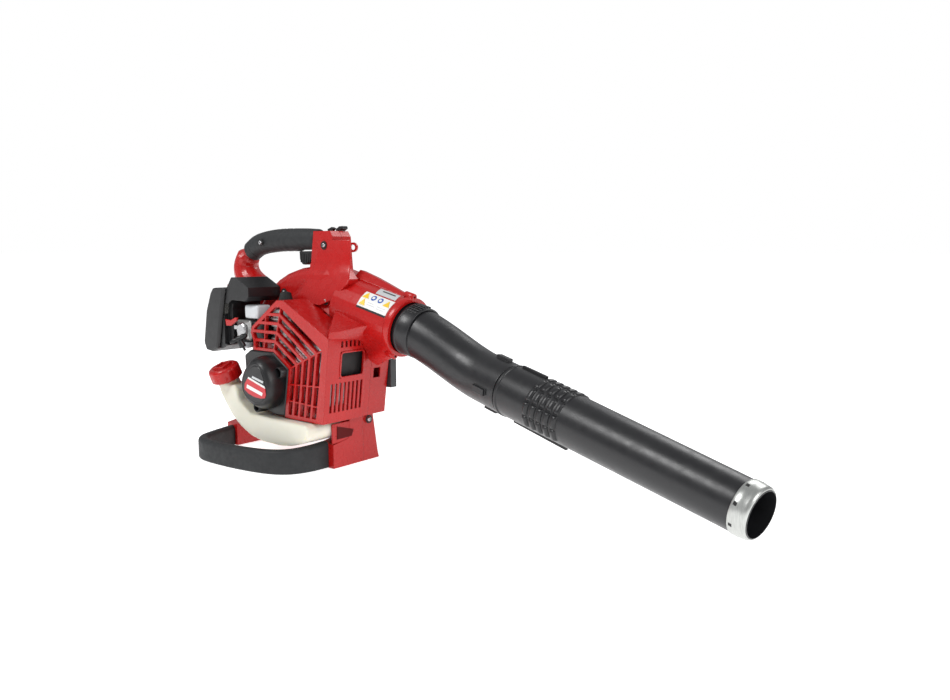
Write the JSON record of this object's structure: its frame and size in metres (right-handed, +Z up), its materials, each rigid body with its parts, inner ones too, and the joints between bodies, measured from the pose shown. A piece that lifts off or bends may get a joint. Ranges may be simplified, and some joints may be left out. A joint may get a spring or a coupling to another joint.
{
  "type": "leaf blower",
  "caption": "Hand-held petrol leaf blower: scroll fan case with top handle, engine with recoil starter, fuel tank, air cleaner and a bent two-piece air pipe.",
  "frame": {"origin": "on the ground, under the middle of the whole machine with its pipe fitted", "axes": "+X the way the air leaves, +Y the air intake side, +Z up, standing on its feet"},
  "size_m": [0.9383, 0.2239, 0.3572],
  "materials": {
    "red_plastic": "glossy moulded",
    "black_plastic": "fine grain",
    "pipe_plastic": "satin",
    "soft_grip": "matt, textured",
    "grey_plastic": "fine grain",
    "tank_plastic": "translucent, satin",
    "clear_plastic": "translucent",
    "cast_alloy": "as cast",
    "steel": "plain",
    "ring_metal": "satin",
    "rubber": "matt",
    "filter_foam": "open foam",
    "cord": "braided"
  },
  "bodies": {
    "housing": {"fan_case_inner": "red_plastic", "fan_case_outer": "red_plastic", "engine_cover": "red_plastic", "cable_eyelet": "red_plastic", "starter_housing": "black_plastic", "intake_insulator": "black_plastic", "primer_flange": "black_plastic", "air_cleaner_base": "black_plastic", "ignition_coil": "black_plastic", "grip_sleeve": "soft_grip", "stand_loop": "soft_grip", "fuel_tank": "tank_plastic", "breather_box": "clear_plastic", "crankcase": "cast_alloy", "cylinder": "cast_alloy", "carburettor": "cast_alloy", "bearing_starter_side": "steel", "bearing_fan_side": "steel", "muffler": "steel", "spark_plug": "steel", "reel_axle": "steel", "screw_grip": "steel", "screw_post": "steel", "screw_case_top": "steel", "screw_case_rear": "steel", "screw_front_foot": "steel", "plug_cap": "rubber", "inlet_gasket": "rubber", "fuel_line": "rubber", "return_line": "rubber", "throttle_cable": "rubber", "air_filter": "filter_foam"},
    "rotor": {"crankshaft": "steel", "fan_wheel": "black_plastic", "fan_nut": "steel", "pawl_cup": "steel"},
    "piston": {"piston": "cast_alloy"},
    "reel": {"starter_reel": "black_plastic", "starter_rope": "cord"},
    "pull": {"starter_grip": "black_plastic"},
    "trigger": {"throttle_trigger": "black_plastic"},
    "drum": {"throttle_drum": "steel"},
    "cruise": {"cruise_lever": "black_plastic"},
    "switch": {"stop_switch": "black_plastic"},
    "choke": {"choke_lever": "red_plastic"},
    "primer": {"primer_bulb": "clear_plastic"},
    "cap": {"fuel_cap": "red_plastic"},
    "lid": {"air_cleaner_lid": "black_plastic"},
    "latch": {"lid_latch": "red_plastic"},
    "elbow": {"elbow_pipe": "pipe_plastic"},
    "pipe": {"straight_pipe": "pipe_plastic", "nozzle_ring": "ring_metal"},
    "guard": {"intake_guard": "grey_plastic"}
  },
  "joints": [
    {"name": "rotor_spin", "type": "hinge", "parent": "housing", "child": "rotor", "pos_m": [-0.2705, -0.018, 0.13], "axis": [0, 1, 0], "continuous": true},
    {"name": "piston_stroke", "type": "slide", "parent": "housing", "child": "piston", "axis": [0, 0, 1], "range_m": [-0.028, 0]},
    {"name": "pull_cord", "type": "slide", "parent": "housing", "child": "pull", "axis": [-0.3492, -0.2993, 0.888], "range_m": [0, 0.5], "stiffness_N_per_m": 8, "springref_m": -0.05},
    {"name": "reel_turn", "type": "hinge", "parent": "housing", "child": "reel", "pos_m": [-0.2705, -0.018, 0.13], "axis": [0, 1, 0], "range_deg": [0, 1560]},
    {"name": "trigger_squeeze", "type": "hinge", "parent": "housing", "child": "trigger", "pos_m": [-0.2665, 0.042, 0.315], "axis": [0, 1, 0], "range_deg": [0, 10], "stiffness_Nm_per_rad": 0.4, "springref_deg": -5.73},
    {"name": "drum_turn", "type": "hinge", "parent": "housing", "child": "drum", "pos_m": [-0.3485, -0.018, 0.197], "axis": [0, 1, 0], "range_deg": [0, 50]},
    {"name": "cruise_set", "type": "hinge", "parent": "housing", "child": "cruise", "pos_m": [-0.2405, 0.0485, 0.346], "axis": [0, 1, 0], "range_deg": [-25, 0]},
    {"name": "switch_travel", "type": "slide", "parent": "housing", "child": "switch", "axis": [1, 0, 0], "range_m": [0, 0.005]},
    {"name": "choke_set", "type": "hinge", "parent": "housing", "child": "choke", "pos_m": [-0.3555, -0.0492, 0.213], "axis": [0, 1, 0], "range_deg": [0, 40]},
    {"name": "primer_press", "type": "slide", "parent": "housing", "child": "primer", "axis": [0, 0, 1], "range_m": [0, 0.0035], "stiffness_N_per_m": 300, "springref_m": -0.0005},
    {"name": "cap_turn", "type": "hinge", "parent": "housing", "child": "cap", "pos_m": [-0.3755, -0.053, 0.119], "axis": [-0.03, -0.3695, 0.9287], "continuous": true},
    {"name": "lid_open", "type": "hinge", "parent": "housing", "child": "lid", "pos_m": [-0.3953, -0.023, 0.166], "axis": [0, 1, 0], "range_deg": [-60, 0]},
    {"name": "latch_lift", "type": "hinge", "parent": "lid", "child": "latch", "pos_m": [-0.3775, -0.0265, 0.273], "axis": [0, 1, 0], "range_deg": [0, 40]},
    {"name": "elbow_turn", "type": "hinge", "parent": "housing", "child": "elbow", "pos_m": [-0.0675, 0.037, 0.211], "axis": [0.9724, 0, -0.2334], "range_deg": [-25, 10]},
    {"name": "pipe_push", "type": "slide", "parent": "elbow", "child": "pipe", "axis": [0.9599, -0.187, -0.209], "range_m": [0, 0.028]},
    {"name": "guard_swing", "type": "hinge", "parent": "housing", "child": "guard", "pos_m": [-0.379, 0.0838, 0.13], "axis": [0, 0, 1], "range_deg": [0, 110]}
  ],
  "couplings": [
    {"joint": "reel_turn", "follows": "pull_cord", "rad_per_m": 54.054},
    {"joint": "drum_turn", "follows": "trigger_squeeze", "ratio": 5}
  ]
}
